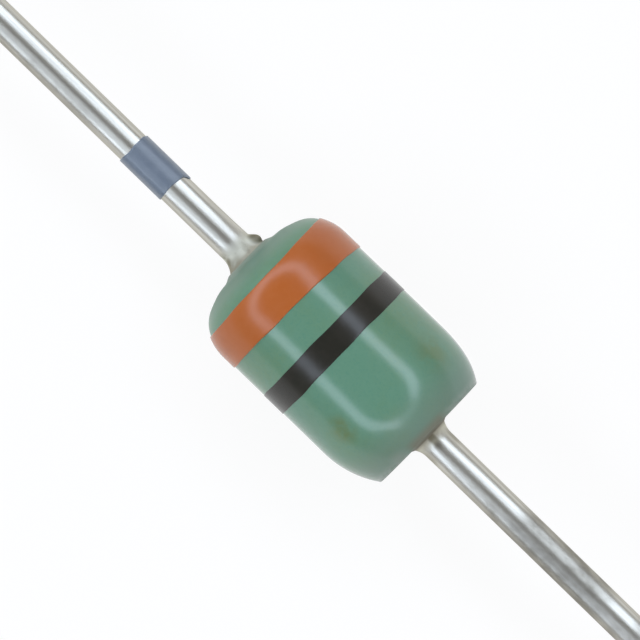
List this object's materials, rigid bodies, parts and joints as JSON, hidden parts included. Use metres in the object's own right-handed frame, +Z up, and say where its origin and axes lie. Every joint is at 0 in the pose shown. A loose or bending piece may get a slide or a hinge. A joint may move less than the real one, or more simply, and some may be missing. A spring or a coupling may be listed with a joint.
{
  "type": "zener diode",
  "caption": "Small axial zener diode: sealed glass body under a green lacquer coat with orange and black bands, straight tinned wire leads, and a blue mark on the cathode lead.",
  "frame": {"origin": "middle of the coated body, on the axis of the leads", "axes": "+X along the leads from the cathode end (wide band, marked lead) to the anode end, +Z up, +Y completing a right-handed frame"},
  "size_m": [0.0286, 0.0018, 0.0018],
  "materials": {
    "tinned_wire": "tin-plated drawn wire, bright with fine lengthwise streaks, brown heat tint at the weld foot",
    "blue_mark": "thin grey-blue paint",
    "plug_metal": "copper-clad nickel-iron, dull red",
    "silicon": "polished grey silicon",
    "silver": "plated silver, matt",
    "glass": "clear sealing glass",
    "green_coat": "glossy green lacquer, slightly mottled",
    "orange_band": "glossy orange-brown paint, raised",
    "black_band": "glossy black paint"
  },
  "bodies": {
    "root": {"cathode_lead": "tinned_wire", "anode_lead": "tinned_wire", "lead_mark": "blue_mark", "cathode_plug": "plug_metal", "anode_plug": "plug_metal", "zener_die": "silicon", "die_bump": "silver", "glass_sleeve": "glass", "body_coat": "green_coat", "cathode_band": "orange_band", "code_band": "black_band"}
  },
  "joints": []
}
